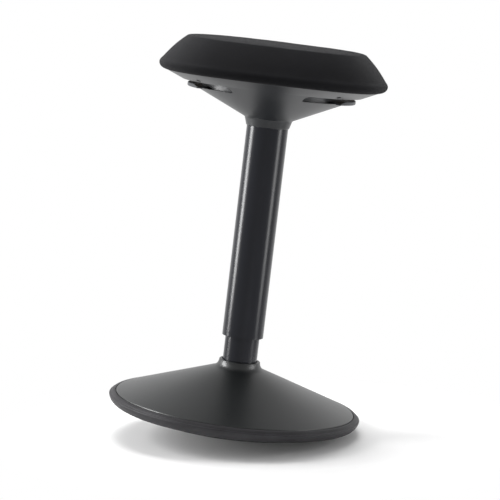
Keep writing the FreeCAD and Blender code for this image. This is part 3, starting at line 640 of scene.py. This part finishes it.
def soft_box(name, place, aim, size, watts, mirrored):
    """Rectangular lamp that points from place to aim; mirrored says whether it shows in gloss."""
    lamp = bpy.data.lights.new(name, "AREA")
    lamp.shape = "RECTANGLE"
    lamp.size, lamp.size_y = size
    lamp.energy = watts
    holder = bpy.data.objects.new(name, lamp)
    holder.location = place
    holder.visible_glossy = mirrored
    holder.rotation_euler = (Vector(aim) - Vector(place)).to_track_quat("-Z", "Y").to_euler()
    bpy.context.scene.collection.objects.link(holder)


def floor_material(radius, glow):
    """White floor that keeps the shadow and fades into the background at its edge."""
    finish = Finish("floor", Base_Color=FLOOR_WHITE, Roughness=0.9, Specular_IOR_Level=0.0)
    way = finish.add("ShaderNodeVectorMath", {"operation": "LENGTH"}, [finish.places], "Value")
    seen = finish.add("ShaderNodeLightPath", {}, {}, "Is Camera Ray")
    glowing = finish.add("ShaderNodeEmission", {}, {"Strength": seen * glow})
    white = finish.add("ShaderNodeAddShader", {}, [Wire(finish, finish.shader.outputs[0]), glowing])
    gone = finish.add("ShaderNodeBsdfTransparent", {}, {})
    faded = way.clamped(FADE_START * radius, radius)
    mix = finish.add("ShaderNodeMixShader", {}, [faded, white, gone])
    finish.tree.links.new(mix.socket, finish.tree.nodes["Material Output"].inputs["Surface"])
    return finish.material


def studio_world(daylight):
    """White where the camera looks and on the backdrop behind the object, dimmer round the rest."""
    world = bpy.data.worlds.new("studio")
    world.use_nodes = True
    graph = Graph(world.node_tree)
    background = graph.tree.nodes["Background"]
    seen = graph.add("ShaderNodeLightPath", {}, {}, "Is Camera Ray")
    way = graph.add("ShaderNodeTexCoord", {}, {}, "Generated")
    behind = graph.add("ShaderNodeSeparateXYZ", {}, [way], "Y")
    height = graph.add("ShaderNodeSeparateXYZ", {}, [way], "Z")
    backdrop = behind.clamped(*BACKDROP_DEPTH) * height.absolute().clamped(*BACKDROP_HEIGHT)
    strength = seen.larger(daylight + (1 - daylight) * backdrop)
    graph.tree.links.new(strength.socket, background.inputs["Strength"])
    background.inputs["Color"].default_value = (1.0, 1.0, 1.0, 1.0)
    bpy.context.scene.world = world


def place_camera(scene, stage, turn):
    """Camera at its bearing round the column, rolled so that the upright stool seems to lean."""
    level = math.cos(stage.pitch)
    forward = Vector((math.sin(stage.yaw) * level, math.cos(stage.yaw) * level, -math.sin(stage.pitch)))
    right = Vector((math.cos(stage.yaw), -math.sin(stage.yaw), 0))
    up = right.cross(forward)
    leaned_right = math.cos(stage.lean) * right + math.sin(stage.lean) * up
    leaned_up = math.cos(stage.lean) * up - math.sin(stage.lean) * right
    axes = turn @ Matrix((leaned_right, leaned_up, -forward)).transposed()
    place = turn @ Vector((0, -stage.distance, stage.height))
    camera = bpy.data.objects.new("camera", bpy.data.cameras.new("camera"))
    camera.data.lens = stage.lens
    camera.matrix_world = Matrix.Translation(place) @ axes.to_4x4()
    scene.collection.objects.link(camera)
    scene.camera = camera


def lay_floor(scene, stage, turn):
    """Floor that touches the dome where the leaning stool would stand on it."""
    normal = turn @ Vector((-math.sin(stage.lean), 0, math.cos(stage.lean)))
    dome_centre = Vector((0, 0, math.sqrt(stage.dome_radius ** 2 - stage.foot_radius ** 2)))
    contact = dome_centre - stage.dome_radius * normal
    mesh = bmesh.new()
    bmesh.ops.create_circle(mesh, segments=FLOOR_SEGMENTS, radius=stage.floor_radius, cap_ends=True)
    data = bpy.data.meshes.new("floor")
    mesh.to_mesh(data)
    mesh.free()
    data.materials.append(floor_material(stage.floor_radius, stage.floor_glow))
    floor = bpy.data.objects.new("floor", data)
    tilt = Vector((0, 0, 1)).rotation_difference(normal).to_matrix().to_4x4()
    floor.matrix_world = Matrix.Translation(contact) @ tilt
    scene.collection.objects.link(floor)


class STOOL_OT_stage(bpy.types.Operator):
    """Sets the camera, the pale floor and soft studio light"""
    bl_idname = "stool.stage"
    bl_label = "Stage"

    def execute(self, context):
        stage = context.scene.stool_stage
        turn = Matrix.Rotation(stage.bearing, 3, "Z")
        place_camera(context.scene, stage, turn)
        lay_floor(context.scene, stage, turn)
        soft_box("left strip", turn @ Vector((-2.1, 0.1, 0.7)), aim=(0, 0, 0.3), size=(0.6, 1.8),
                 watts=stage.left_strip, mirrored=True)
        soft_box("right strip", turn @ Vector((2.1, -0.4, 0.7)), aim=(0, 0, 0.3), size=(0.6, 1.8),
                 watts=stage.right_strip, mirrored=True)
        soft_box("front fill", turn @ Vector((0.4, -2.3, -0.5)), aim=(0, 0, 0.45), size=(1.0, 0.8),
                 watts=stage.front_fill, mirrored=False)
        soft_box("overhead", Vector((-0.35, 0.5, 2.1)), aim=(0, 0, 0), size=(1.4, 1.4),
                 watts=stage.overhead, mirrored=False)
        studio_world(stage.daylight)
        context.scene.view_settings.view_transform = "Standard"
        return {"FINISHED"}


class STOOL_PT_panel(bpy.types.Panel):
    """Lists the stool's pieces"""
    bl_idname = "STOOL_PT_panel"
    bl_label = "Wobble stool"
    bl_space_type = "VIEW_3D"
    bl_region_type = "UI"
    bl_category = "Stool"

    def draw(self, context):
        for operator in OPERATORS:
            self.layout.operator(operator.bl_idname)


OPERATORS = (STOOL_OT_padded_seat, STOOL_OT_base, STOOL_OT_column, STOOL_OT_seat_shell,
             STOOL_OT_height_release, STOOL_OT_fasteners, STOOL_OT_stage)
GROUPS = {"stool_pad": STOOL_PG_pad, "stool_finish": STOOL_PG_finish, "stool_stage": STOOL_PG_stage}


def register():
    for kind in (*GROUPS.values(), *OPERATORS, STOOL_PT_panel):
        bpy.utils.register_class(kind)
    for name, group in GROUPS.items():
        setattr(bpy.types.Scene, name, bpy.props.PointerProperty(type=group))


def unregister():
    for name in GROUPS:
        delattr(bpy.types.Scene, name)
    for kind in (STOOL_PT_panel, *reversed(OPERATORS), *GROUPS.values()):
        bpy.utils.unregister_class(kind)


def main():
    register()
    bpy.ops.stool.padded_seat()
    bpy.ops.stool.base()
    bpy.ops.stool.column()
    bpy.ops.stool.seat_shell()
    bpy.ops.stool.height_release()
    bpy.ops.stool.fasteners()
    bpy.ops.stool.stage()


if __name__ == "__main__":
    main()
